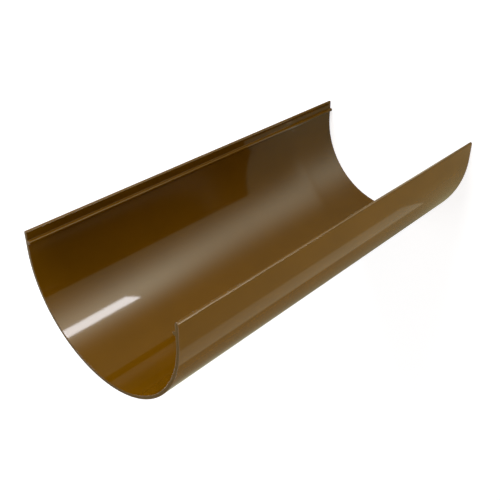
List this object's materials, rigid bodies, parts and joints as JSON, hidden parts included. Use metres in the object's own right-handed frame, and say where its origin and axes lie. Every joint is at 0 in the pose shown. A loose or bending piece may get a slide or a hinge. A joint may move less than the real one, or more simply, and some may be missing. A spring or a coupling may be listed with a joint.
{
  "type": "gutter section",
  "caption": "Short length of deep half-round plastic gutter: a U-shaped channel open along its front and at both ends, with a clip bead along the inside of each wall.",
  "frame": {"origin": "on the floor under the lower end, midway between the two walls and midway between the rims and the round back", "axes": "+X across the channel, -Y out of its open front, +Z along it. It stands on a square-cut end, because on its round bottom it rocks"},
  "size_m": [0.125, 0.075, 0.282],
  "materials": {
    "brown_plastic": "smooth extruded PVC, through-coloured brown, semi-gloss"
  },
  "bodies": {
    "root": {"gutter_channel": "brown_plastic"}
  },
  "joints": []
}
